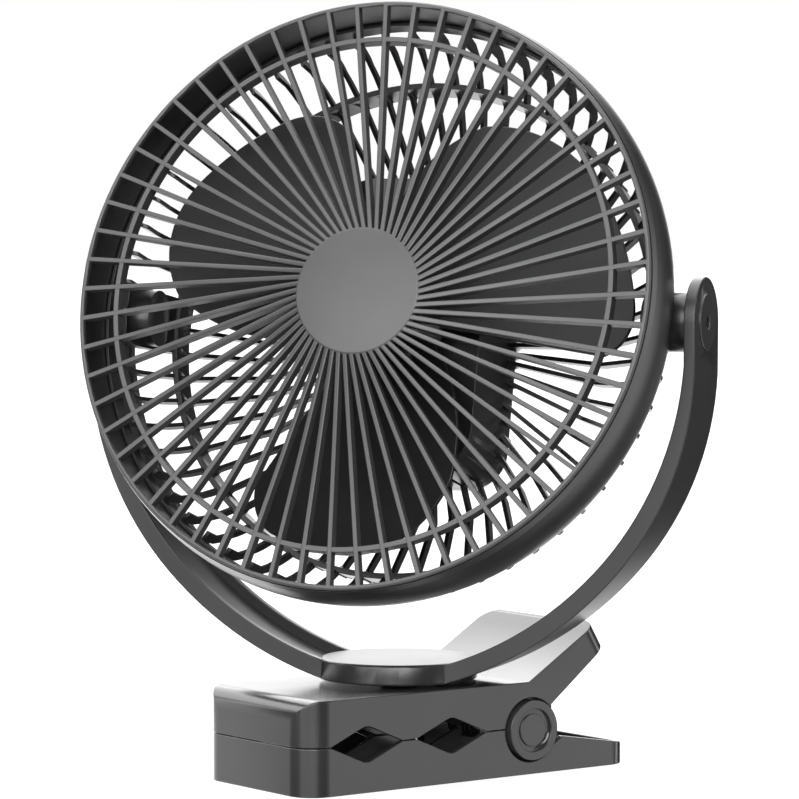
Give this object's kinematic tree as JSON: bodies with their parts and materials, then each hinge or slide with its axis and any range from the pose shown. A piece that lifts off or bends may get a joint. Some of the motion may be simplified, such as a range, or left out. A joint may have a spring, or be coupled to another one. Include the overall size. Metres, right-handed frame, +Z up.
{
  "type": "clip fan",
  "caption": "Round caged desk fan on a U-shaped tilting yoke that swivels on a sprung clamp with notched jaws; the battery housing is behind the blades.",
  "frame": {"origin": "on the yoke's swivel axis, at the underside of the closed clamp", "axes": "+Z up, +Y along the clamp towards its levers, +X out of the clamp's flank; the head is swivelled and tilted as pictured"},
  "size_m": [0.205, 0.169, 0.2609],
  "materials": {
    "grille_plastic": "fine-grained moulded ABS, charcoal",
    "housing_plastic": "fine-grained moulded ABS, charcoal",
    "blade_plastic": "smooth moulded polypropylene, charcoal",
    "yoke_plastic": "satin moulded ABS, charcoal",
    "clamp_plastic": "satin moulded ABS, charcoal",
    "cap_plastic": "satin moulded ABS, charcoal",
    "button_plastic": "smooth moulded ABS, dark grey",
    "lens_plastic": "frosted clear polycarbonate",
    "fastener_steel": "zinc-plated steel",
    "shaft_steel": "ground steel",
    "pin_steel": "black-oxide steel",
    "spring_steel": "drawn spring wire",
    "motor_steel": "zinc-plated deep-drawn steel",
    "magnet_ferrite": "dull sintered ferrite",
    "armature_copper": "enamelled copper windings",
    "bush_bronze": "oil-filled sintered bronze",
    "nylon": "natural nylon",
    "cell_wrap": "shrink-wrapped sleeve",
    "board_laminate": "solder-masked glass laminate",
    "port_steel": "nickel-plated steel shell"
  },
  "bodies": {
    "clamp_base": {"lower_jaw": "clamp_plastic", "hinge_pin": "shaft_steel", "hinge_cap_left": "cap_plastic", "hinge_cap_right": "cap_plastic", "clamp_spring": "spring_steel"},
    "clamp_top": {"upper_jaw": "clamp_plastic"},
    "yoke": {"yoke": "yoke_plastic", "swivel_washer": "fastener_steel", "swivel_screw": "fastener_steel", "pivot_washer_left": "nylon", "pivot_washer_right": "nylon"},
    "head": {"front_grille": "grille_plastic", "shroud_ring": "housing_plastic", "rear_guard": "housing_plastic", "rear_cover": "housing_plastic", "indicator_lenses": "lens_plastic", "cover_screws": "fastener_steel", "motor_can": "motor_steel", "motor_end_cap": "nylon", "motor_bush_front": "bush_bronze", "motor_bush_rear": "bush_bronze", "motor_magnets": "magnet_ferrite", "motor_screws": "fastener_steel", "battery_cells": "cell_wrap", "control_board": "board_laminate", "charging_port": "port_steel", "pivot_pin_left": "pin_steel", "pivot_pin_right": "pin_steel"},
    "fan": {"fan_blade": "blade_plastic", "motor_shaft": "shaft_steel", "motor_armature": "armature_copper"},
    "button": {"power_button": "button_plastic"}
  },
  "joints": [
    {"name": "jaw_open", "type": "hinge", "parent": "clamp_base", "child": "clamp_top", "pos_m": [0, 0.034, 0.0152], "axis": [-1, 0, 0], "range_deg": [0, 32], "stiffness_Nm_per_rad": 1.2, "springref_deg": -68.75, "deforming": ["clamp_spring"]},
    {"name": "yoke_swivel", "type": "hinge", "parent": "clamp_top", "child": "yoke", "pos_m": [0, 0, 0.03], "axis": [0, 0, 1], "continuous": true},
    {"name": "head_tilt", "type": "hinge", "parent": "yoke", "child": "head", "pos_m": [0, 0, 0.1541], "axis": [-0.8425, -0.5388, 0], "range_deg": [-60, 75]},
    {"name": "blade_spin", "type": "hinge", "parent": "head", "child": "fan", "pos_m": [0, 0, 0.1541], "axis": [0.5199, -0.813, 0.2622], "continuous": true},
    {"name": "power_press", "type": "slide", "parent": "head", "child": "button", "axis": [0.5199, -0.813, 0.2622], "range_m": [0, 0.0006], "stiffness_N_per_m": 500, "springref_m": -0.001}
  ]
}
